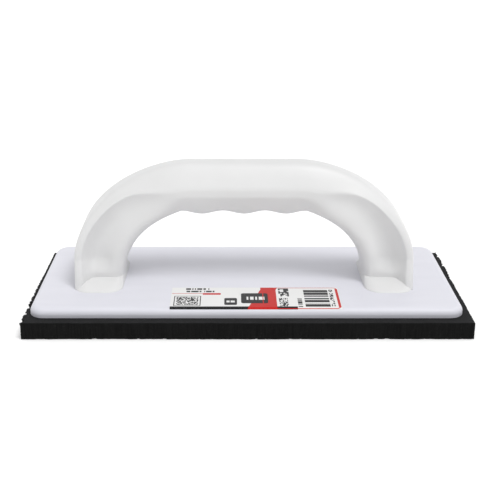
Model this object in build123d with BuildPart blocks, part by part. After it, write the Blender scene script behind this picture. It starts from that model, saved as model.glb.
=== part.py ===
from build123d import *
import os
from math import atan2, cos, hypot, pi, sin

os.makedirs("parts", exist_ok=True)

# ---------------------------------------------------------------------------
# Grout float.  X runs along the long side, Y points away from the user,
# Z points up.  The origin is the centre of the rubber's working face.
# All dimensions are in millimetres.
# ---------------------------------------------------------------------------

# rubber pad and the glue line above it
pad_length = 280.0
pad_width = 120.0
pad_thickness = 11.0
pad_corner_radius = 0.8
glue_thickness = 0.4
glue_margin = 0.6  # how far the glue stops short of the plate's edge

# backing plate, glued a little off the pad's centre
plate_length = 270.6
plate_width = 111.8
plate_thickness = 5.8
plate_corner_radius = 9.5
plate_edge_radius = 4.0
plate_center_x = -0.8
plate_center_y = 2.5
plate_bottom = pad_thickness + glue_thickness
plate_top = plate_bottom + plate_thickness

# handle: its side outline lies between an outer and an inner superellipse
handle_center_x = -2.1
handle_center_y = plate_center_y
handle_top = 96.7
outer_straight = 34.4  # half of the straight stretch on top
outer_half_length = 109.8
bend_height = 35.7  # below this the legs are straight
outer_power = 1.83
inner_half_length = 79.0
inner_center_x = -6.3  # the inner arch is a superellipse about this point
inner_center_z = 11.1
inner_height = 59.0
inner_power = 2.56
grip_underside = 63.6
finger_pitch = 27.2
finger_depth = 1.1  # half of the height from a hollow to a ridge

# handle sections
grip_half_width = 16.0
strap_flare = 8.6  # how much wider the outer strap is at the plate
dish_depth = 8.5  # hollow in each side of the legs
dish_floor = 5.3  # height above the plate where the hollow ends
section_points = 12  # points along half of a section

# foot skirt: the low sloping block that each leg stands on
skirt_length = 31.4
skirt_width = 59.6
skirt_radius = 10.0
skirt_edge = 0.5
skirt_height = 5.2
skirt_top_length = 20.0
skirt_top_width = 33.0

# screws that hold the handle, hidden under the rubber
screw_offsets = (86.5, 101.5)  # distances from the handle's centre
screw_radius = 2.0
screw_length = 18.0
screw_tip = 2.5
head_radius = 4.0
head_height = 2.4
recess_width = 1.1
recess_length = 4.4
recess_depth = 1.4
counterbore_radius = 4.8
counterbore_depth = 2.9
screw_clearance = 0.25
thread_clearance = 0.02
pilot_depth = 16.0
screw_seat = plate_bottom + counterbore_depth

# paper label on the plate's front, carried over the rounded edge
label_left = -48.5
label_right = 58.5
label_back = -19.6
label_thickness = 0.15
label_wrap = 33.0  # degrees of the rounded edge that the label covers


def smooth(value, low, high):
    """Ramp from 0 at low to 1 at high, level at both ends."""
    t = min(max((value - low) / (high - low), 0.0), 1.0)
    return t * t * (3 - 2 * t)


def signed_power(value, power):
    return (1 if value >= 0 else -1) * abs(value) ** power


def inner_height_at(x):
    """Height of the inner outline, which is the finger side of the grip and then the arch."""
    arch_reach = inner_half_length - inner_center_x
    arch = max(0.0, 1 - ((x - inner_center_x) / arch_reach) ** inner_power)
    arch_z = inner_center_z + inner_height * arch ** (1 / inner_power)
    fade = 1 - smooth(x, 1.55 * finger_pitch, 2 * finger_pitch)
    fingers = grip_underside - finger_depth * cos(2 * pi * x / finger_pitch) * fade
    return min(arch_z, fingers)


def inner_reach_at(z):
    """Distance of the arch from the handle's centre at a height."""
    drop = 1 - ((z - inner_center_z) / inner_height) ** inner_power
    return inner_center_x + (inner_half_length - inner_center_x) * drop ** (1 / inner_power)


def ray_points(angle):
    """Inner and outer outline points on a ray from the bend's centre, angle from vertical."""
    sx, sz = sin(angle), cos(angle)
    a, b = outer_half_length - outer_straight, handle_top - bend_height
    reach = ((sx / a) ** outer_power + (sz / b) ** outer_power) ** (-1 / outer_power)
    outer = (outer_straight + reach * sx, bend_height + reach * sz)
    near, far = 0.0, reach
    for _ in range(40):
        middle = (near + far) / 2
        x, z = outer_straight + middle * sx, bend_height + middle * sz
        inside = x < inner_half_length and z < inner_height_at(x)
        near, far = (middle, far) if inside else (near, middle)
    return (outer_straight + near * sx, bend_height + near * sz), outer


def handle_stations():
    """Inner point, outer point and how far along the bend and the leg each section is."""
    stations = []
    for x in (0, 0.25, 0.5, 0.75, 1.0):
        x *= finger_pitch
        stations.append(((x, inner_height_at(x)), (x, handle_top), 0.0, 0.0))
    bend_steps = 12
    for step in range(bend_steps + 1):
        angle = pi / 2 * step / bend_steps
        inner, outer = ray_points(angle)
        bend = smooth(step / bend_steps, 0, 0.5)
        leg = 0.45 * smooth(step / bend_steps, 0.4, 1)
        stations.append((inner, outer, bend, leg))
    for share in (0.3, 0.55, 0.8, 1.0):
        z = bend_height + (plate_top - bend_height) * share
        inner, outer = (inner_reach_at(z), z), (outer_half_length, z)
        stations.append((inner, outer, 1.0, 0.45 + 0.55 * share))
    return stations


def half_section(inner, outer, bend, leg):
    """Evenly spaced points (across, along) of half a section, from the finger side to the top."""
    height = hypot(outer[0] - inner[0], outer[1] - inner[1])
    fine = 360
    dense = []
    for k in range(fine + 1):
        turn = -pi / 2 + pi * k / fine
        c, s = (cos(turn) if 0 < k < fine else 0.0), sin(turn)
        power = 2.2 + 2.6 * bend if s >= 0 else 2.5
        along = 0.5 + 0.5 * signed_power(s, 2 / power)
        z = inner[1] + (outer[1] - inner[1]) * along
        floor = plate_top + dish_floor
        dish = smooth(along, 0.08, 0.55) * (1 - smooth(along, 0.70, 0.88))
        dish *= dish_depth * bend * smooth(z, floor, floor + 11)
        rim = smooth(along, 0.76, 0.93)
        half = grip_half_width + rim * (bend + strap_flare * leg) - dish
        dense.append((half * c ** (2 / power), height * along))
    total = [0.0]
    for (a, b), (c, d) in zip(dense, dense[1:]):
        total.append(total[-1] + hypot(c - a, d - b))
    points = [dense[0]]
    for n in range(1, section_points):
        goal = total[-1] * n / section_points
        k = next(i for i in range(fine) if total[i + 1] >= goal)
        t = (goal - total[k]) / (total[k + 1] - total[k])
        (a, b), (c, d) = dense[k], dense[k + 1]
        points.append((a + (c - a) * t, b + (d - b) * t))
    return [*points, dense[-1]]


# ---------------------------------------------------------------------------
# Rubber pad: cut cellular rubber slab with nearly square edges
# ---------------------------------------------------------------------------
with BuildPart() as rubber_pad:
    with BuildSketch():
        RectangleRounded(pad_length, pad_width, pad_corner_radius)
    extrude(amount=pad_thickness)

rubber_pad.part.label = "rubber_pad"
export_step(rubber_pad.part, "parts/rubber_pad.step")

# ---------------------------------------------------------------------------
# Adhesive film between the pad and the plate
# ---------------------------------------------------------------------------
with BuildPart() as adhesive_film:
    with BuildSketch(Plane.XY.offset(pad_thickness)):
        with Locations((plate_center_x, plate_center_y)):
            RectangleRounded(
                plate_length - 2 * glue_margin,
                plate_width - 2 * glue_margin,
                plate_corner_radius - glue_margin,
            )
    extrude(amount=glue_thickness)

adhesive_film.part.label = "adhesive_film"
export_step(adhesive_film.part, "parts/adhesive_film.step")

# ---------------------------------------------------------------------------
# Backing plate: moulded slab with a rounded top edge and counterbored holes
# ---------------------------------------------------------------------------
screw_places = [
    (handle_center_x + side * offset, handle_center_y)
    for side in (-1, 1)
    for offset in screw_offsets
]

with BuildPart() as backing_plate:
    with BuildSketch(Plane.XY.offset(plate_bottom)):
        with Locations((plate_center_x, plate_center_y)):
            RectangleRounded(plate_length, plate_width, plate_corner_radius)
    extrude(amount=plate_thickness)
    fillet(backing_plate.edges().group_by(Axis.Z)[-1], plate_edge_radius)
    # the holes are bored upwards from the glued face
    with Locations([Plane((x, y, plate_bottom), z_dir=(0, 0, -1)) for x, y in screw_places]):
        CounterBoreHole(screw_radius + screw_clearance, counterbore_radius, counterbore_depth)

backing_plate.part.label = "backing_plate"
export_step(backing_plate.part, "parts/backing_plate.step")

# ---------------------------------------------------------------------------
# Handle: one moulding, lofted through sections from the left foot over the grip
# to the right foot, with a skirt under each leg and screw pilot holes
# ---------------------------------------------------------------------------
skirt_places = [
    (handle_center_x + side * (outer_half_length - skirt_length / 2), handle_center_y)
    for side in (-1, 1)
]

right_half = handle_stations()
left_half = [
    ((-inner[0], inner[1]), (-outer[0], outer[1]), bend, leg)
    for inner, outer, bend, leg in reversed(right_half[1:])
]

with BuildPart() as handle:
    for inner, outer, bend, leg in left_half + right_half:
        lean = atan2(outer[0] - inner[0], outer[1] - inner[1])
        section_plane = Plane(
            origin=(handle_center_x + inner[0], handle_center_y, inner[1]),
            x_dir=(0, 1, 0),
            z_dir=(cos(lean), 0, -sin(lean)),
        )
        rear = half_section(inner, outer, bend, leg)
        front = [(-across, along) for across, along in reversed(rear)]
        with BuildSketch(section_plane):
            with BuildLine():
                Spline(*rear, tangents=[(1, 0), (-1, 0)])
                Spline(*front, tangents=[(-1, 0), (1, 0)])
            make_face()
    loft(ruled=True)
    for place in skirt_places:
        with BuildSketch(Plane.XY.offset(plate_top)):
            with Locations(place):
                RectangleRounded(skirt_length, skirt_width, skirt_radius)
        extrude(amount=skirt_edge)
        with BuildSketch(Plane.XY.offset(plate_top + skirt_edge)):
            with Locations(place):
                RectangleRounded(skirt_length, skirt_width, skirt_radius)
        with BuildSketch(Plane.XY.offset(plate_top + skirt_height)):
            with Locations(place):
                RectangleRounded(skirt_top_length, skirt_top_width, skirt_radius / 2)
        loft(ruled=True)
    with Locations([Plane((x, y, plate_top), z_dir=(0, 0, -1)) for x, y in screw_places]):
        Hole(screw_radius + thread_clearance, pilot_depth)

handle.part.label = "handle"
export_step(handle.part, "parts/handle.step")

# ---------------------------------------------------------------------------
# Screws: pan heads with a cross recess, driven upwards from under the plate
# ---------------------------------------------------------------------------
screw_names = ("left_outer", "left_inner", "right_inner", "right_outer")
for name, (x, y) in zip(screw_names, sorted(screw_places)):
    tip = screw_seat + screw_length
    with BuildPart() as screw:
        with BuildSketch(Plane.XZ.offset(-y)):
            with BuildLine():
                dome = ThreePointArc(
                    (x, screw_seat - head_height),
                    (x + 0.75 * head_radius, screw_seat - 0.8 * head_height),
                    (x + head_radius, screw_seat - 0.3 * head_height),
                )
                Polyline(
                    dome @ 1,
                    (x + head_radius, screw_seat),
                    (x + screw_radius, screw_seat),
                    (x + screw_radius, tip - screw_tip),
                    (x, tip),
                    dome @ 0,
                )
            make_face()
        revolve(axis=Axis((x, y, 0), (0, 0, 1)))
        with BuildSketch(Plane.XY.offset(screw_seat - head_height)):
            with Locations((x, y)):
                Rectangle(recess_length, recess_width)
                Rectangle(recess_width, recess_length)
        extrude(amount=recess_depth, mode=Mode.SUBTRACT)

    screw.part.label = "screw_" + name
    export_step(screw.part, f"parts/screw_{name}.step")

# ---------------------------------------------------------------------------
# Label: thin paper that lies on the plate and follows its rounded front edge
# ---------------------------------------------------------------------------
edge_y = plate_center_y - plate_width / 2 + plate_edge_radius  # where the rounding starts
edge_z = plate_top - plate_edge_radius
label_outer = plate_edge_radius + label_thickness

with BuildPart() as label:
    with BuildSketch(Plane.YZ.offset(label_left)):
        with BuildLine():
            under = CenterArc((edge_y, edge_z), plate_edge_radius, 90, label_wrap)
            over = CenterArc((edge_y, edge_z), label_outer, 90, label_wrap)
            Line(under @ 1, over @ 1)
            Polyline(
                under @ 0,
                (label_back, plate_top),
                (label_back, plate_top + label_thickness),
                over @ 0,
            )
        make_face()
    extrude(amount=label_right - label_left)

label.part.label = "label"
export_step(label.part, "parts/label.step")
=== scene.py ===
import math
import bpy
import numpy as np
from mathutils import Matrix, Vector


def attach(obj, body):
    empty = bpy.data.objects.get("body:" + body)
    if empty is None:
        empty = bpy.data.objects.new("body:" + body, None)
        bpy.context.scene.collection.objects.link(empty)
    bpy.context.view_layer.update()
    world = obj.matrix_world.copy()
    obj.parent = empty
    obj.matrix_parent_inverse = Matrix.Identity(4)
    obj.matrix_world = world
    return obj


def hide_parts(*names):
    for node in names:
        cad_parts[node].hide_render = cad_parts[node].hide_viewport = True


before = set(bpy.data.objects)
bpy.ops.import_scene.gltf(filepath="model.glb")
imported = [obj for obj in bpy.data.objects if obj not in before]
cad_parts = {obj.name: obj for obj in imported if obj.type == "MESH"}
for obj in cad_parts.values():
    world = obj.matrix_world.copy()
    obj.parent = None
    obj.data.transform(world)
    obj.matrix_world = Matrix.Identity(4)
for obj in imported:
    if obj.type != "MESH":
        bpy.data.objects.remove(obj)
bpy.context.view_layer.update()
mm = 0.001


def linear(hexCode):
    # sRGB hex to linear RGBA
    parts = [int(hexCode[i:i + 2], 16) / 255 for i in (0, 2, 4)]
    return tuple(c / 12.92 if c <= 0.04045 else ((c + 0.055) / 1.055) ** 2.4 for c in parts) + (1.0,)


def ramp(value, low, high):
    # smooth step from 0 at low to 1 at high
    t = np.clip((value - low) / (high - low), 0.0, 1.0)
    return t * t * (3 - 2 * t)


def roundedOutline(halfLength, halfWidth, radius, arcSteps, longSteps, shortSteps):
    # closed outline of a rounded rectangle: quarter circles at the corners, joined by evenly divided straight runs
    runs = []
    for corner, (cx, cy) in enumerate(((1, -1), (1, 1), (-1, 1), (-1, -1))):
        turn = np.linspace(0, np.pi / 2, arcSteps + 1) + (corner - 1) * np.pi / 2
        runs.append(np.stack([cx * (halfLength - radius) + radius * np.cos(turn),
                              cy * (halfWidth - radius) + radius * np.sin(turn)], -1))
    outline = []
    for corner in range(4):
        start, end = runs[corner][-1], runs[(corner + 1) % 4][0]
        share = np.linspace(0, 1, shortSteps if corner % 2 == 0 else longSteps, endpoint=False)[1:, None]
        outline += [runs[corner], start + (end - start) * share]
    return np.concatenate(outline)


def roundOff(points, times):
    # cuts the corners of a run of points again and again, which tends to a quadratic spline; the two ends stay
    for turn in range(times):
        a, b = points[..., :-1, :], points[..., 1:, :]
        cut = np.stack([0.75 * a + 0.25 * b, 0.25 * a + 0.75 * b], -2)
        cut = cut.reshape(*points.shape[:-2], -1, points.shape[-1])
        points = np.concatenate([points[..., :1, :], cut[..., 1:-1, :], points[..., -1:, :]], -2)
    return points


def knotNoise(place, length, step, seed):
    # random value from -1 to 1 along a closed line: straight runs between random knots about one step apart
    knots = max(3, int(round(length / step)))
    values = np.random.default_rng(seed).uniform(-1, 1, knots)
    return np.interp(place / length * knots, np.arange(knots + 1), np.append(values, values[0]))


def gridFaces(rows, columns, wrap=False):
    # corner numbers of the quads of a rows x columns grid; wrap joins the last column to the first
    a = np.arange(rows * columns).reshape(rows, columns)
    b = np.roll(a, -1, 1) if wrap else a[:, 1:]
    a = a if wrap else a[:, :-1]
    return np.stack([a[:-1], b[:-1], b[1:], a[1:]], -1).reshape(-1, 4)


def addMesh(name, points, faces, uv=None):
    # points in millimetres; faces is a list of corner number lists
    mesh = bpy.data.meshes.new(name)
    mesh.from_pydata((points * mm).tolist(), [], faces)
    if uv is not None:
        corner = np.empty(len(mesh.loops), np.int64)
        mesh.loops.foreach_get("vertex_index", corner)
        mesh.uv_layers.new(name="UVMap").data.foreach_set("uv", uv[corner].astype(np.float32).ravel())
    mesh.polygons.foreach_set("use_smooth", np.full(len(mesh.polygons), True))
    piece = bpy.data.objects.new(name, mesh)
    bpy.context.scene.collection.objects.link(piece)
    mesh.update()
    return piece


def ringsToMesh(rings, start=0):
    # closed shell from rings of equal count: quads between neighbouring rings, and a fan to the middle point at
    # each end. Rings run counterclockwise seen from the last one, so faces point outward. The points are numbered
    # from start on, for a mesh made of several shells.
    count, around = rings.shape[:2]
    ends = np.array([rings[0].mean(0), rings[-1].mean(0)])
    points = np.concatenate([rings.reshape(-1, 3), ends])
    quads = gridFaces(count, around, wrap=True)
    k = np.arange(around)
    n = np.roll(k, -1)
    last = (count - 1) * around
    first = np.stack([n, k, np.full(around, count * around)], -1)
    final = np.stack([last + k, last + n, np.full(around, count * around + 1)], -1)
    return points, (quads + start).tolist() + (first + start).tolist() + (final + start).tolist()


def addNode(tree, kind, links=None, **settings):
    # one node with its settings; links fills inputs, by name or number, with a value or another node's output
    node = tree.nodes.new(kind)
    for key, value in settings.items():
        setattr(node, key, value)
    for socket, source in (links or {}).items():
        if isinstance(source, bpy.types.NodeSocket):
            tree.links.new(source, node.inputs[socket])
        else:
            node.inputs[socket].default_value = source
    return node


def newMaterial(name):
    # new material with an empty node tree, returned together
    material = bpy.data.materials.new(name)
    material.use_nodes = True
    material.node_tree.nodes.clear()
    return material, material.node_tree


def wear(piece, material):
    # the piece, or CAD node, shows only this material
    piece.data.materials.clear()
    piece.data.materials.append(material)


# camera: place in metres, degrees below level, lens in mm and sideways shift; then the lamp and the paper floor
view = {"place": (-0.0111, -0.5756, 0.2588), "tilt": 21.16, "lens": 67.08, "shift": 0.04}
light = {"horizon": 0.50, "zenith": 0.82, "key": 1.56, "keyFrom": (0.45, -0.42, 1.25), "keySpread": 24.0,
         "floor": "EFEFEF", "floorGlow": 0.15}

cameraData = bpy.data.cameras.new("camera")
cameraData.lens = view["lens"]
cameraData.sensor_width = 36
cameraData.shift_x = view["shift"]
cameraData.clip_start = 0.01
camera = bpy.data.objects.new("camera", cameraData)
camera.location = view["place"]
camera.rotation_euler = (math.radians(90 - view["tilt"]), 0, 0)
bpy.context.scene.collection.objects.link(camera)
bpy.context.scene.camera = camera
bpy.context.scene.view_settings.view_transform = "Standard"

# the room is a white tent, brighter overhead than at eye level
world = bpy.data.worlds.new("tent")
bpy.context.scene.world = world
world.use_nodes = True
tree = world.node_tree
tree.nodes.clear()
way = addNode(tree, "ShaderNodeSeparateXYZ", {0: addNode(tree, "ShaderNodeTexCoord").outputs["Generated"]})
sky = addNode(tree, "ShaderNodeMapRange", {"Value": way.outputs["Z"], "From Min": 0.0, "From Max": 0.9,
                                          "To Min": light["horizon"], "To Max": light["zenith"]})
glow = addNode(tree, "ShaderNodeBackground", {"Color": (1, 1, 1, 1), "Strength": sky.outputs[0]})
addNode(tree, "ShaderNodeOutputWorld", {"Surface": glow.outputs[0]})

# one sun with a wide, soft disc, from the front right and high up
lampData = bpy.data.lights.new("keyLamp", "SUN")
lampData.energy = light["key"]
lampData.angle = math.radians(light["keySpread"])
lamp = bpy.data.objects.new("keyLamp", lampData)
lamp.location = light["keyFrom"]
lamp.rotation_euler = Vector(light["keyFrom"]).to_track_quat("Z", "Y").to_euler()
bpy.context.scene.collection.objects.link(lamp)

# floor: a sheet of paper just under the pad, height as a smooth step of the distance, so it rises far away. It is
# open under the pad, along a rectangle in polar form, so that the working face can be seen from below.
floorSheet = {"openHalf": (0.134, 0.054), "below": 0.0002, "flatTo": 5.0, "riseTo": 9.0, "height": 3.0}
around = np.linspace(0, 2 * np.pi, 64, endpoint=False)
opening = 1 / np.maximum(np.abs(np.cos(around)) / floorSheet["openHalf"][0],
                         np.abs(np.sin(around)) / floorSheet["openHalf"][1])
reach = opening + np.concatenate([np.linspace(0, 2.5, 12), np.linspace(2.7, 9.0, 24)])[:, None]
floorRise = floorSheet["height"] * ramp(reach, floorSheet["flatTo"], floorSheet["riseTo"]) - floorSheet["below"]
floorPoints = np.stack([reach * np.cos(around), reach * np.sin(around), floorRise], -1).reshape(-1, 3) / mm
floor = addMesh("studioFloor", floorPoints, gridFaces(36, 64, wrap=True)[:, ::-1].tolist())

# paper, uncoated: an even white without reflections, with a little glow of its own so that it stays white far away
material, tree = newMaterial("seamless paper, matt")
shader = addNode(tree, "ShaderNodeBsdfPrincipled", {
    "Base Color": linear(light["floor"]), "Roughness": 0.9, "Specular IOR Level": 0.2,
    "Emission Color": (1, 1, 1, 1), "Emission Strength": light["floorGlow"]})
addNode(tree, "ShaderNodeOutputMaterial", {"Surface": shader.outputs[0]})
wear(floor, material)
print("camera, light and floor are set")


# the bow's side outline: an outer superellipse with a straight top, and an inner one cut by the finger line.
# Turn is the share of the way round a bend, from the grip to the leg.
bow = {
    "centerX": -2.1, "centerY": 2.5, "top": 96.7, "foot": 17.2,
    "straight": 34.4, "outerHalf": 109.8, "bendHeight": 35.7, "outerPower": 1.83,
    "innerHalf": 79.0, "innerX": -6.3, "innerZ": 11.1, "innerHeight": 59.0, "innerPower": 2.56,
    "gripUnder": 63.6, "pitch": 27.2, "fingerDepth": 1.1, "fingerFade": (1.55, 2.0),  # fade in pitches
    "ridgeTurn": (0, 0.5), "dishTurn": (0.14, 0.55), "flatTurn": (0.2, 1), "flareTurn": (0.4, 1),
    "flare": 8.6, "flareAtLeg": 0.45, "dishFloor": 7.6, "dishRise": 11.0,  # heights above the foot
    "strapTurn": (0, 0.16, 0.33, 0.45, 0.6, 0.8, 1), "strap": (14.7, 12.6, 7.2, 4.2, 3.7, 4.5, 4.9),
    "strapFoot": 4.4, "softRuns": 70, "softness": 1.4, "softFrom": (0.05, 0.3), "softTo": (0.74, 0.88),
    "gripSteps": 52, "bendSteps": 76, "legSteps": 40,
}
# half of the grip's section, (out from the middle, down from the top) in mm, from the finger side to the crown:
# rounded finger side, flat lower side, flat band, soft crown. What is under the band stretches to the finger line.
gripSection = np.array([
    (0, 33.1), (5.0, 33.1), (8.5, 32.3), (11.1, 28.1), (14.9, 22.2), (15.8, 20.4), (16.0, 19.0), (16.2, 16.6),
    (16.2, 15.2), (15.7, 13.4), (14.4, 10.8), (11.8, 6.2), (8.0, 1.3), (4.5, 0), (0, 0)])
# half of the leg's section, (out from the middle in mm, share of the way from the inner to the outer side):
# rounded inner ridge, hollow side, and the flat strap, which the flare makes wider; the foot's has hardly a hollow
legSection = np.array([
    (0, 0), (8, 0), (12.8, 0.04), (15.3, 0.14), (15.6, 0.26), (13.4, 0.40), (12.3, 0.53), (12.6, 0.65),
    (14.4, 0.77), (15.8, 0.845), (17, 0.88), (17, 0.95), (16.4, 0.99), (13, 1), (0, 1)])
footSection = np.array([
    (0, 0), (8, 0), (13.2, 0.03), (15.9, 0.11), (16.2, 0.22), (16.4, 0.35), (16.5, 0.50), (16.6, 0.64),
    (16.6, 0.77), (16.8, 0.845), (17, 0.88), (17, 0.95), (16.4, 0.99), (13, 1), (0, 1)])


def innerHeight(x):
    # the lower of the arch, a superellipse, and the finger line, a cosine that fades out past two fingers
    b = bow
    share = np.clip((x - b["innerX"]) / (b["innerHalf"] - b["innerX"]), 0, 1)
    arch = b["innerZ"] + b["innerHeight"] * (1 - share ** b["innerPower"]) ** (1 / b["innerPower"])
    fade = 1 - ramp(x, b["fingerFade"][0] * b["pitch"], b["fingerFade"][1] * b["pitch"])
    fingers = b["gripUnder"] - b["fingerDepth"] * np.cos(2 * np.pi * x / b["pitch"]) * fade
    return np.minimum(arch, fingers)


def bowStations():
    # half of the bow from the middle of the grip to the foot, one row per section: inner x and z, outer x and z,
    # shares of the inner ridge, the hollow, the flat strap and its flare, and the strap's width
    b = bow
    x = np.linspace(0, b["straight"], b["gripSteps"], endpoint=False)
    none = 0 * x
    grip = np.stack([x, innerHeight(x), x, none + b["top"], none, none, none, none, none + b["strap"][0]], -1)
    turn = np.linspace(0, 1, b["bendSteps"])
    sx, sz = np.sin(turn * np.pi / 2), np.cos(turn * np.pi / 2)
    wide, high = b["outerHalf"] - b["straight"], b["top"] - b["bendHeight"]
    out = ((sx / wide) ** b["outerPower"] + (sz / high) ** b["outerPower"]) ** (-1 / b["outerPower"])
    near, far = 0 * turn, out
    for halving in range(40):  # closes in on the inner outline along each ray
        middle = (near + far) / 2
        px, pz = b["straight"] + middle * sx, b["bendHeight"] + middle * sz
        inside = (px < b["innerHalf"]) & (pz < innerHeight(px))
        near, far = np.where(inside, middle, near), np.where(inside, far, middle)
    bend = np.stack([b["straight"] + near * sx, b["bendHeight"] + near * sz, b["straight"] + out * sx,
                     b["bendHeight"] + out * sz, ramp(turn, *b["ridgeTurn"]), ramp(turn, *b["dishTurn"]),
                     ramp(turn, *b["flatTurn"]), b["flareAtLeg"] * ramp(turn, *b["flareTurn"]),
                     np.interp(turn, b["strapTurn"], b["strap"])], -1)
    share = np.linspace(0, 1, b["legSteps"] + 1)[1:]
    z = b["bendHeight"] + (b["foot"] - b["bendHeight"]) * share
    drop = 1 - ((z - b["innerZ"]) / b["innerHeight"]) ** b["innerPower"]
    inner = b["innerX"] + (b["innerHalf"] - b["innerX"]) * drop ** (1 / b["innerPower"])
    full = np.ones_like(z)
    leg = np.stack([inner, z, full * b["outerHalf"], z, full, full, full,
                    b["flareAtLeg"] + (1 - b["flareAtLeg"]) * share,
                    b["strap"][-1] + (b["strapFoot"] - b["strap"][-1]) * share], -1)
    return np.concatenate([grip, bend, leg])


def bowRings():
    # the section's corner points blend from grip to leg to foot along the bow, and its corners are rounded off;
    # first parameter along the bow from the left foot, second round the section
    b = bow
    right = bowStations()
    left = right[:0:-1] * np.array([-1, 1, -1, 1, 1, 1, 1, 1, 1])
    inX, inZ, outX, outZ, ridge, dish, flat, flare, strap = np.concatenate([left, right]).T[:, :, None]
    high = np.hypot(outX - inX, outZ - inZ)
    out, down = gripSection.T
    band = gripSection[5, 1]  # lower end of the flat band
    down = np.where(down > band, band + (down - band) * (high - band) / (gripSection[0, 1] - band), down)
    grip = np.stack([out + 0 * down, 1 - down / high], -1)
    deep = ramp((inZ + outZ) / 2, b["foot"] + b["dishFloor"], b["foot"] + b["dishFloor"] + b["dishRise"])
    side = footSection + (legSection - footSection) * deep[..., None]
    edge = legSection[10, 1]  # where the strap begins, moved to the strap's width in this section
    begin = 1 - strap / high
    along = np.where(side[..., 1] < edge, side[..., 1] * begin / edge,
                     1 - (1 - side[..., 1]) * (1 - begin) / (1 - edge))
    widen = ramp(side[..., 1], 0.66, 0.89) * (side[..., 0] > 0)
    side = np.stack([side[..., 0] + widen * b["flare"] * flare, along], -1)
    number = np.arange(len(gripSection))  # the first five points follow the ridge, the next five the hollow
    share = np.where(number < 5, ridge, np.where(number < 10, dish, flat))[..., None]
    half = roundOff(grip + (side - grip) * share, 3)
    # the bends' front edges are softer: averaged with their neighbours, but not at the inner and outer ridges
    part = np.linspace(0, 1, half.shape[1])[1:-1]
    window = ramp(part, *b["softFrom"]) * (1 - ramp(part, *b["softTo"]))
    soft = b["softness"] * (dish * (1 - flat))[..., None] * window[None, :, None]
    for run in range(b["softRuns"]):
        half[:, 1:-1] += soft * ((half[:, :-2] + half[:, 2:]) / 2 - half[:, 1:-1])
    ring = np.concatenate([half * [-1, 1], half[:, -2:0:-1]], 1)  # front half up, rear half down
    across, along = ring[..., 0], ring[..., 1]
    return np.stack([b["centerX"] + inX + (outX - inX) * along, b["centerY"] + across,
                     inZ + (outZ - inZ) * along], -1)


points, faces = ringsToMesh(bowRings()[::-1])

# skirts: rounded rectangles that shrink upwards, edge rounded off; both are closed shells of the same moulding.
# The profile is (share of the way from the base outline to the top outline, height in mm).
skirt = {"half": (15.7, 29.8), "radius": 10.0, "topHalf": (14.9, 16.6), "topRadius": 4.0, "profile": (
    (-0.05, 0), (-0.02, 0.1), (0.0, 0.5), (0.1, 1.1), (0.5, 3.2), (0.9, 5.0), (1, 5.3))}
profile = roundOff(np.array(skirt["profile"]), 2)
share, rise = profile[:, 0, None, None], profile[:, 1, None, None]
base = roundedOutline(*skirt["half"], skirt["radius"], 12, 8, 16)
top = roundedOutline(*skirt["topHalf"], skirt["topRadius"], 12, 8, 16)
for side in (-1, 1):
    level = base + (top - base) * share
    place = (bow["centerX"] + side * (bow["outerHalf"] - skirt["half"][0]), bow["centerY"])
    rings = np.concatenate([level + place, np.broadcast_to(bow["foot"] + rise, (*level.shape[:2], 1))], -1)
    more, moreFaces = ringsToMesh(rings, len(points))
    points = np.concatenate([points, more])
    faces += moreFaces

handle = addMesh("bowHandle", points, faces)
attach(handle, "root")
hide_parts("handle")
print("handle:", len(faces), "faces")

# polypropylene, injection moulded: white with a soft sheen, a faint fine grain and a thin seam where the moulds met.
# The grain is drawn coarser than a real mould's, so that it shows.
handleFinish = {"color": "D5D5D5", "shade": "CDCDCD", "roughness": 0.44, "cloudSize": 24.0, "grainSize": 0.5,
                "seam": (0.1, 0.35)}
material, tree = newMaterial("polypropylene, injection moulded")
place = addNode(tree, "ShaderNodeTexCoord").outputs["Object"]
clouds = addNode(tree, "ShaderNodeTexNoise", {"Vector": place, "Scale": 1 / (handleFinish["cloudSize"] * mm),
                                             "Detail": 3.0, "Roughness": 0.5})
color = addNode(tree, "ShaderNodeMix", {0: clouds.outputs[0], 6: linear(handleFinish["shade"]),
                                       7: linear(handleFinish["color"])}, data_type="RGBA")
grain = addNode(tree, "ShaderNodeTexNoise", {"Vector": place, "Scale": 1 / (handleFinish["grainSize"] * mm),
                                            "Detail": 2.0})
rough = addNode(tree, "ShaderNodeMapRange", {"Value": clouds.outputs[0], "From Min": 0.3, "From Max": 0.7,
                                            "To Min": handleFinish["roughness"] - 0.05,
                                            "To Max": handleFinish["roughness"] + 0.07})
sides = addNode(tree, "ShaderNodeSeparateXYZ", {0: place})
offset = addNode(tree, "ShaderNodeMath", {0: sides.outputs["Y"], 1: bow["centerY"] * mm}, operation="SUBTRACT")
away = addNode(tree, "ShaderNodeMath", {0: offset.outputs[0]}, operation="ABSOLUTE")
seam = addNode(tree, "ShaderNodeMapRange", {"Value": away.outputs[0], "From Min": handleFinish["seam"][0] * mm,
                                           "From Max": handleFinish["seam"][1] * mm, "To Min": 1.0, "To Max": 0.0})
relief = addNode(tree, "ShaderNodeMath", {0: grain.outputs[0], 1: 0.25, 2: seam.outputs[0]}, operation="MULTIPLY_ADD")
bump = addNode(tree, "ShaderNodeBump", {"Height": relief.outputs[0], "Strength": 0.25, "Distance": 0.12 * mm})
shader = addNode(tree, "ShaderNodeBsdfPrincipled", {"Base Color": color.outputs[2], "Roughness": rough.outputs[0],
                                                   "IOR": 1.49, "Normal": bump.outputs[0]})
addNode(tree, "ShaderNodeOutputMaterial", {"Surface": shader.outputs[0]})
wear(handle, material)


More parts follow.
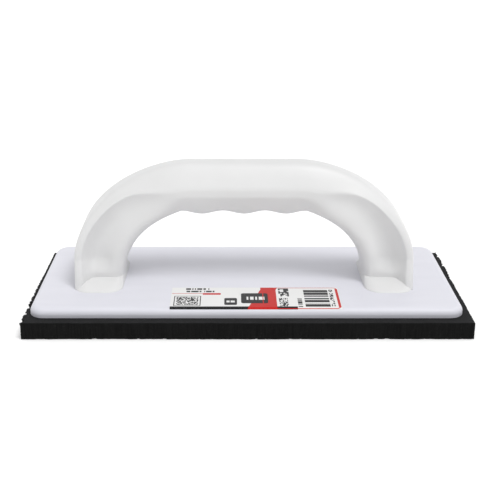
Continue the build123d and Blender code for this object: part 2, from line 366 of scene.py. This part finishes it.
# polystyrene, injection moulded: a cooler white than the handle, satin, with soft flow marks along its length, and
# painted shade that darkens its rounded edge towards the bottom. The grain is drawn coarser than a real mould's, so
# that it shows.
plateFinish = {"color": "D7D7DE", "shade": "CCCCD4", "roughness": 0.42, "flow": (60.0, 12.0), "grainSize": 0.7,
               "dustAndPaintedLight": "6E6E74", "paintedEdgeShade": 0.45, "paintedShadeFrom": 17.17, "paintedShadeTo": 13.0}
material, tree = newMaterial("polystyrene, injection moulded")
place = addNode(tree, "ShaderNodeTexCoord").outputs["Object"]
stretched = addNode(tree, "ShaderNodeMapping", {"Vector": place, "Scale": (
    1 / (plateFinish["flow"][0] * mm), 1 / (plateFinish["flow"][1] * mm), 1 / (plateFinish["flow"][1] * mm))})
flow = addNode(tree, "ShaderNodeTexNoise", {"Vector": stretched.outputs[0], "Scale": 1.0, "Detail": 4.0,
                                           "Distortion": 0.6})
color = addNode(tree, "ShaderNodeMix", {0: flow.outputs[0], 6: linear(plateFinish["shade"]),
                                       7: linear(plateFinish["color"])}, data_type="RGBA")
height = addNode(tree, "ShaderNodeSeparateXYZ", {0: place}).outputs["Z"]
# painted shade: from the top of the rounded edge downwards, the colour is mixed towards a dark grey
low = addNode(tree, "ShaderNodeMapRange", {"Value": height, "From Min": plateFinish["paintedShadeFrom"] * mm,
                                          "From Max": plateFinish["paintedShadeTo"] * mm, "To Min": 0.0,
                                          "To Max": plateFinish["paintedEdgeShade"]})
color = addNode(tree, "ShaderNodeMix", {0: low.outputs[0], 6: color.outputs[2], 7: linear(plateFinish["dustAndPaintedLight"])},
                data_type="RGBA")
grain = addNode(tree, "ShaderNodeTexNoise", {"Vector": place, "Scale": 1 / (plateFinish["grainSize"] * mm),
                                            "Detail": 2.0})
rough = addNode(tree, "ShaderNodeMapRange", {"Value": flow.outputs[0], "From Min": 0.3, "From Max": 0.7,
                                            "To Min": plateFinish["roughness"] - 0.06,
                                            "To Max": plateFinish["roughness"] + 0.08})
relief = addNode(tree, "ShaderNodeMath", {0: grain.outputs[0], 1: 0.15, 2: flow.outputs[0]}, operation="MULTIPLY_ADD")
bump = addNode(tree, "ShaderNodeBump", {"Height": relief.outputs[0], "Strength": 0.2, "Distance": 0.15 * mm})
shader = addNode(tree, "ShaderNodeBsdfPrincipled", {"Base Color": color.outputs[2], "Roughness": rough.outputs[0],
                                                   "IOR": 1.55, "Specular IOR Level": 0.3,
                                                   "Normal": bump.outputs[0]})
addNode(tree, "ShaderNodeOutputMaterial", {"Surface": shader.outputs[0]})
wear(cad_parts["backing_plate"], material)
print("plate has its plastic")


# pad: a slab cut from a sheet with a knife. Rings run from the working face up the cut side and over the top.
# The outline lies in by a fixed inset plus random strokes of several widths, which run up the side, plus nicks
# along the bottom edge and tears on part of both short sides.
pad = {
    "half": (140.0, 60.0), "radius": 0.8, "height": 11.0, "step": 0.62,
    "strokes": ((0.9, 0.10), (2.6, 0.12), (9.0, 0.10), (60.0, 0.22)),
    "inset": 0.32, "lean": 0.25, "fine": 0.06, "nickDepth": 0.55, "tearDepth": 2.6, "rim": 3.4,
}
outline = roundedOutline(*pad["half"], pad["radius"], 3, int(2 * pad["half"][0] / pad["step"]),
                         int(2 * pad["half"][1] / pad["step"]))
length = len(outline) * pad["step"]
walk = np.arange(len(outline)) * pad["step"]
ahead = np.roll(outline, -1, 0) - np.roll(outline, 1, 0)
outward = np.stack([ahead[:, 1], -ahead[:, 0]], -1) / np.linalg.norm(ahead, axis=1)[:, None]

# sideRows: height, and how far in the ring lies (the top and bottom edges are a little rounded)
sideRows = np.concatenate([[0.0, 0.12, 0.35], np.linspace(0.8, 10.2, 15), [10.65, 10.9, 11.0]])
edgeIn = np.concatenate([[0.30, 0.08, 0.0], np.zeros(15), [0.08, 0.30, 0.62]])
strokes = sum(deep * knotNoise(walk, length, wide, 11 + k) for k, (wide, deep) in enumerate(pad["strokes"]))
lean = knotNoise(walk, length, 35.0, 21) * pad["lean"]
fine = np.stack([knotNoise(walk + 0.3 * row, length, 1.3, 40 + row) for row in range(len(sideRows))])
nick = np.clip(knotNoise(walk, length, 1.7, 31) - 0.55, 0, 1) / 0.45 * pad["nickDepth"]
# torn places: the front half of the left side and the rear half of the right side
tornLeft = ramp(-outline[:, 0], 138.5, 139.5) * ramp(-outline[:, 1], -25, 10)
tornRight = ramp(outline[:, 0], 138.5, 139.5) * ramp(outline[:, 1], 0, 30)
torn = (tornLeft + tornRight) * pad["tearDepth"]
tear = np.stack([knotNoise(walk, length, 1.9, 60 + row // 4) for row in range(len(sideRows))])
tear = np.clip(tear, -0.25, 1) * torn
low = 1 - ramp(sideRows, 0.2, 1.6)
topEdge = ramp(sideRows, 9.5, 10.9)
inward = (pad["inset"] + strokes + lean * (sideRows[:, None] / pad["height"] - 0.5) + pad["fine"] * fine
          + low[:, None] * nick + edgeIn[:, None] + tear * (0.35 + 0.65 * topEdge[:, None]))
rise = np.repeat(sideRows[:, None], len(walk), 1) + low[:, None] * nick * 0.9 * (sideRows[:, None] < 0.5)
sides = np.concatenate([outline[None] - outward[None] * inward[..., None], rise[..., None]], -1)


def padFace(edgeRing, height, lift):
    # flat face: rings go from the cut edge to an outline a rim further in, then to the middle; the height swells
    # or sinks at random near the edge
    inner = np.concatenate([outline * (1 - pad["rim"] / np.array(pad["half"])), np.full((len(walk), 1), height)], -1)
    edge = np.concatenate([edgeRing[:, :2], np.full((len(walk), 1), height)], -1)
    rough = np.abs(knotNoise(walk, length, 1.1, 80))[:, None] * np.array([0, 0, lift])
    near = [edge + (inner - edge) * share + rough * fade
            for share, fade in ((0.15, 1), (0.35, 0.6), (0.7, 0), (1, 0))]
    return np.array(near + [inner * (0.9, 0.9, 1), inner * (0.5, 0.5, 1)])


under = padFace(sides[0], 0.0, 0.06)[::-1]
over = padFace(sides[-1], pad["height"], -0.12)
rings = np.concatenate([under, sides, over])
points, faces = ringsToMesh(rings)
slab = addMesh("cutRubberPad", points, faces)
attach(slab, "root")
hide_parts("rubber_pad")
print("pad:", len(faces), "faces")

# cellular rubber, sliced: matt black, open pores on the cut sides, fine strokes of the knife with painted shade in
# their grooves, a greyer skin on top drawn lighter still as painted sheen. Pores and strokes are drawn coarser than
# real ones, so that they show.
padFinish = {"cut": "0F0F0F", "paintedGrooveShade": "040404", "skinAndSheen": "1B1B1C", "dustAndPaintedLight": "29292A", "pore": 0.7, "stroke": 0.55,
             "strokeHeight": 14.0, "patch": 9.0, "skinAndSheenFrom": (10.75, 10.98), "roughness": 0.88}
material, tree = newMaterial("cellular rubber, sliced with a knife")
place = addNode(tree, "ShaderNodeTexCoord").outputs["Object"]
alongSide = addNode(tree, "ShaderNodeMapping", {"Vector": place, "Scale": (
    1 / (padFinish["stroke"] * mm), 1 / (padFinish["stroke"] * mm), 1 / (padFinish["strokeHeight"] * mm))})
stroke = addNode(tree, "ShaderNodeTexNoise", {"Vector": alongSide.outputs[0], "Scale": 1.0, "Detail": 3.0,
                                             "Roughness": 0.6})
pore = addNode(tree, "ShaderNodeTexVoronoi", {"Vector": place, "Scale": 1 / (padFinish["pore"] * mm)})
pit = addNode(tree, "ShaderNodeMapRange", {"Value": pore.outputs["Distance"], "From Min": 0.1, "From Max": 0.45})
# painted shade: the grooves of the knife strokes are drawn darker than the cut face
sharp = addNode(tree, "ShaderNodeMapRange", {"Value": stroke.outputs[0], "From Min": 0.35, "From Max": 0.62})
cut = addNode(tree, "ShaderNodeMix", {0: sharp.outputs[0], 6: linear(padFinish["paintedGrooveShade"]),
                                     7: linear(padFinish["cut"])}, data_type="RGBA")
# the top: a greyer skin in random patches, drawn lighter than the real skin as painted sheen
patches = addNode(tree, "ShaderNodeTexNoise", {"Vector": place, "Scale": 1 / (padFinish["patch"] * mm),
                                              "Detail": 6.0, "Roughness": 0.65})
skinAndSheen = addNode(tree, "ShaderNodeMix", {0: patches.outputs[0], 6: linear(padFinish["skinAndSheen"]),
                                      7: linear(padFinish["dustAndPaintedLight"])}, data_type="RGBA")
up = addNode(tree, "ShaderNodeSeparateXYZ", {0: place})
isTop = addNode(tree, "ShaderNodeMapRange", {"Value": up.outputs["Z"], "From Min": padFinish["skinAndSheenFrom"][0] * mm,
                                            "From Max": padFinish["skinAndSheenFrom"][1] * mm})
color = addNode(tree, "ShaderNodeMix", {0: isTop.outputs[0], 6: cut.outputs[2], 7: skinAndSheen.outputs[2]},
                data_type="RGBA")
relief = addNode(tree, "ShaderNodeMath", {0: pit.outputs[0], 1: 0.5, 2: stroke.outputs[0]}, operation="MULTIPLY_ADD")
bump = addNode(tree, "ShaderNodeBump", {"Height": relief.outputs[0], "Strength": 0.8, "Distance": 0.3 * mm})
shader = addNode(tree, "ShaderNodeBsdfPrincipled", {"Base Color": color.outputs[2], "Normal": bump.outputs[0],
                                                   "Roughness": padFinish["roughness"], "IOR": 1.52,
                                                   "Specular IOR Level": 0.14})
addNode(tree, "ShaderNodeOutputMaterial", {"Surface": shader.outputs[0]})
wear(slab, material)


# contact cement, brushed on and dried: a thin dark brown-black line with a dull gloss and small lumps
glueFinish = {"color": "1B1817", "thin": "2A2422", "lump": 1.2, "roughness": 0.5}
material, tree = newMaterial("contact cement, dried")
place = addNode(tree, "ShaderNodeTexCoord").outputs["Object"]
lump = addNode(tree, "ShaderNodeTexNoise", {"Vector": place, "Scale": 1 / (glueFinish["lump"] * mm), "Detail": 3.0})
color = addNode(tree, "ShaderNodeMix", {0: lump.outputs[0], 6: linear(glueFinish["color"]),
                                       7: linear(glueFinish["thin"])}, data_type="RGBA")
bump = addNode(tree, "ShaderNodeBump", {"Height": lump.outputs[0], "Strength": 0.6, "Distance": 0.3 * mm})
shader = addNode(tree, "ShaderNodeBsdfPrincipled", {"Base Color": color.outputs[2], "Normal": bump.outputs[0],
                                                   "Roughness": glueFinish["roughness"]})
addNode(tree, "ShaderNodeOutputMaterial", {"Surface": shader.outputs[0]})
wear(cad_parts["adhesive_film"], material)

# steel, bright zinc plated: pale blue-grey metal with fine turned lines round each screw
zincFinish = {"color": "C2C6CB", "dull": "A6ABB2", "line": 0.25, "cloudSize": 4.0, "roughness": 0.3}
material, tree = newMaterial("steel, bright zinc plated")
place = addNode(tree, "ShaderNodeTexCoord").outputs["Object"]
flat = addNode(tree, "ShaderNodeMapping", {"Vector": place, "Scale": (
    1 / (zincFinish["cloudSize"] * mm), 1 / (zincFinish["cloudSize"] * mm), 1 / (zincFinish["line"] * mm))})
turned = addNode(tree, "ShaderNodeTexNoise", {"Vector": flat.outputs[0], "Scale": 1.0, "Detail": 2.0})
color = addNode(tree, "ShaderNodeMix", {0: turned.outputs[0], 6: linear(zincFinish["dull"]),
                                       7: linear(zincFinish["color"])}, data_type="RGBA")
rough = addNode(tree, "ShaderNodeMapRange", {"Value": turned.outputs[0], "To Min": zincFinish["roughness"] - 0.08,
                                            "To Max": zincFinish["roughness"] + 0.12})
bump = addNode(tree, "ShaderNodeBump", {"Height": turned.outputs[0], "Strength": 0.3, "Distance": 0.05 * mm})
shader = addNode(tree, "ShaderNodeBsdfPrincipled", {"Base Color": color.outputs[2], "Metallic": 1.0,
                                                   "Roughness": rough.outputs[0], "Normal": bump.outputs[0]})
addNode(tree, "ShaderNodeOutputMaterial", {"Surface": shader.outputs[0]})
for name in ("left_outer", "left_inner", "right_inner", "right_outer"):
    wear(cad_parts["screw_" + name], material)
print("pad, glue and screws are done")


# label: a closed thin sheet, its path flat from the back and then round the plate's edge (radius 4 mm, 33 degrees),
# carried along X; its UV map is in millimetres from the label's back left corner
sheet = {"left": -48.5, "right": 58.5, "back": -19.6, "edgeY": -49.4, "edgeZ": 13.2, "radius": 4.0,
         "wrap": 33.0, "thickness": 0.15, "gap": 0.01, "columns": 216}
flatSteps = np.linspace(sheet["back"], sheet["edgeY"], 40)
turn = np.radians(np.linspace(0, sheet["wrap"], 14)[1:])


def labelPath(lift):
    # (Y, Z) of the path at a lift above the plate
    r = sheet["radius"] + lift
    y = np.append(flatSteps, sheet["edgeY"] - r * np.sin(turn))
    z = np.append(0 * flatSteps + sheet["edgeZ"] + r, sheet["edgeZ"] + r * np.cos(turn))
    return np.stack([y, z], -1)


outer, inner = labelPath(sheet["thickness"]), labelPath(sheet["gap"])
walk = np.append(0, np.cumsum(np.linalg.norm(np.diff(outer, axis=0), axis=1)))
loop = np.concatenate([outer, inner[::-1]])
acrossX = np.linspace(sheet["left"], sheet["right"], sheet["columns"])
rings = np.stack([np.repeat(acrossX[:, None], len(loop), 1), np.repeat(loop[None, :, 0], len(acrossX), 0),
                  np.repeat(loop[None, :, 1], len(acrossX), 0)], -1)
points, faces = ringsToMesh(rings)
reading = np.concatenate([walk, walk[::-1]])
uv = np.stack([np.repeat((acrossX - sheet["left"])[:, None], len(loop), 1),
               np.repeat(reading[None], len(acrossX), 0)], -1).reshape(-1, 2)
uv = np.concatenate([uv, uv[:1], uv[-1:]])
label = addMesh("printedLabel", points, faces, uv)
label.data.polygons.foreach_set("use_smooth", np.full(len(label.data.polygons), False))  # keeps its cut edges sharp
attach(label, "root")
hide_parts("label")

# coated paper, printed in red and black: bright white, a little glossy, with crisp generic print. The paper's
# fibers are drawn coarser than real ones, so that they show.
labelFinish = {"paper": "DBDBDA", "red": "B81C17", "black": "1B1B1D", "fiber": 0.6, "roughness": 0.32}
# each row of the print: ink, left, right, back, front edge in mm, corner radius, slant, line width (0 is solid),
# and a pattern of small cells (width, height, share left white), or None
printed = (
    ("black", 0.0, 79.5, 29.2, 33.0, 0.0, 0.0, 0, None),
    ("black", 9.0, 24.0, 1.0, 3.6, 0.0, 0.0, 0, (0.8, 2.6, 0.30)),
    ("black", 9.4, 29.0, 5.0, 7.4, 0.0, 0.0, 0, (0.6, 2.4, 0.32)),
    ("red", 0.3, 21.0, 9.2, 9.8, 0.0, 0.0, 0, None),
    ("red", 20.0, 31.5, 8.8, 11.4, 0.5, 0.0, 0, None),
    ("black", 2.0, 19.0, 13.2, 28.4, 0.6, 0.0, 0.8, None),
    ("black", 3.6, 17.4, 14.8, 26.8, 0.0, 0.0, 0, (0.75, 0.75, 0.42)),
    ("red", 53.0, 63.0, 0.0, 33.0, 0.0, -0.3, 0, None),
    ("red", 57.0, 66.8, 0.0, 33.0, 0.0, 0.0, 0, None),
    ("black", 33.8, 41.8, 16.5, 27.0, 1.2, 0.0, 0, None),
    ("paper", 35.2, 40.4, 20.4, 23.2, 0.0, 0.0, 0, (0.65, 2.8, 0.35)),
    ("black", 44.4, 61.4, 9.0, 24.5, 1.6, 0.0, 0, None),
    ("paper", 46.8, 59.2, 14.4, 19.2, 0.0, 0.0, 0, (1.1, 4.8, 0.40)),
    ("red", 58.0, 106.6, 0.25, 31.9, 3.0, 0.0, 0.6, None),
    ("red", 105.0, 106.6, 1.8, 30.6, 0.7, 0.0, 0, None),
    ("black", 68.4, 75.0, 1.4, 14.0, 0.0, 0.0, 0, (1.1, 1.4, 0.38)),
    ("black", 68.4, 74.0, 16.5, 29.0, 0.0, 0.0, 0, (0.5, 1.2, 0.42)),
    ("black", 80.0, 82.8, 17.0, 30.0, 0.0, 0.0, 0, (2.8, 0.9, 0.22)),
    ("black", 84.5, 100.0, 3.0, 29.6, 0.0, 0.0, 0, (60.0, 0.5, 0.36)),
    ("black", 100.8, 103.2, 3.5, 29.0, 0.0, 0.0, 0, (0.8, 0.9, 0.42)),
)
material, tree = newMaterial("coated paper, printed")
paperPlace = addNode(tree, "ShaderNodeUVMap", uv_map="UVMap").outputs[0]
sides = addNode(tree, "ShaderNodeSeparateXYZ", {0: paperPlace})
turned = addNode(tree, "ShaderNodeCombineXYZ", {0: sides.outputs["Y"], 1: sides.outputs["X"]}).outputs[0]
inks = {name: linear(labelFinish[name]) for name in ("paper", "red", "black")}
color = inks["paper"]
for number, (ink, left, right, back, front, radius, slant, line, cells) in enumerate(printed):
    # distance outside a core rectangle, which is the shape less its corner radius; the shape is where that is under
    # the radius, and a line is where it is also over the radius less the line's width
    middle = ((left + right - slant * (back + front)) / 2, (back + front) / 2, 0)
    core = ((right - left) / 2 - radius, (front - back) / 2 - radius, 0)
    slanted = addNode(tree, "ShaderNodeVectorMath", {0: turned, 1: (-slant, 0, 0), 2: paperPlace},
                      operation="MULTIPLY_ADD")
    fromMiddle = addNode(tree, "ShaderNodeVectorMath", {0: slanted.outputs[0], 1: middle}, operation="SUBTRACT")
    folded = addNode(tree, "ShaderNodeVectorMath", {0: fromMiddle.outputs[0]}, operation="ABSOLUTE")
    past = addNode(tree, "ShaderNodeVectorMath", {0: folded.outputs[0], 1: core}, operation="SUBTRACT")
    outside = addNode(tree, "ShaderNodeVectorMath", {0: past.outputs[0], 1: (0, 0, 0)}, operation="MAXIMUM")
    far = addNode(tree, "ShaderNodeVectorMath", {0: outside.outputs[0]}, operation="LENGTH").outputs["Value"]
    mask = addNode(tree, "ShaderNodeMath", {0: far, 1: max(radius, 0.001)}, operation="LESS_THAN").outputs[0]
    if line:
        border = addNode(tree, "ShaderNodeMath", {0: far, 1: max(radius - line, 0.0005)}, operation="GREATER_THAN")
        mask = addNode(tree, "ShaderNodeMath", {0: mask, 1: border.outputs[0]}, operation="MULTIPLY").outputs[0]
    if cells:
        inCell = addNode(tree, "ShaderNodeVectorMath", {0: paperPlace, 1: (left, back, 0)}, operation="SUBTRACT")
        counted = addNode(tree, "ShaderNodeVectorMath", {0: inCell.outputs[0], 1: (cells[0], cells[1], 1)},
                          operation="DIVIDE")
        cell = addNode(tree, "ShaderNodeVectorMath", {0: counted.outputs[0]}, operation="FLOOR")
        own = addNode(tree, "ShaderNodeVectorMath", {0: cell.outputs[0], 1: (0, 0, number)}, operation="ADD")
        dots = addNode(tree, "ShaderNodeTexWhiteNoise", {"Vector": own.outputs[0]}, noise_dimensions="3D")
        inked = addNode(tree, "ShaderNodeMath", {0: dots.outputs["Value"], 1: cells[2]}, operation="GREATER_THAN")
        mask = addNode(tree, "ShaderNodeMath", {0: mask, 1: inked.outputs[0]}, operation="MULTIPLY").outputs[0]
    color = addNode(tree, "ShaderNodeMix", {0: mask, 6: color, 7: inks[ink]}, data_type="RGBA").outputs[2]
place = addNode(tree, "ShaderNodeTexCoord").outputs["Object"]
fiber = addNode(tree, "ShaderNodeTexNoise", {"Vector": place, "Scale": 1 / (labelFinish["fiber"] * mm),
                                            "Detail": 3.0})
bump = addNode(tree, "ShaderNodeBump", {"Height": fiber.outputs[0], "Strength": 0.12, "Distance": 0.05 * mm})
shader = addNode(tree, "ShaderNodeBsdfPrincipled", {"Base Color": color, "Roughness": labelFinish["roughness"],
                                                   "Specular IOR Level": 0.2, "Normal": bump.outputs[0]})
addNode(tree, "ShaderNodeOutputMaterial", {"Surface": shader.outputs[0]})
wear(label, material)
print("label:", len(printed), "printed shapes")
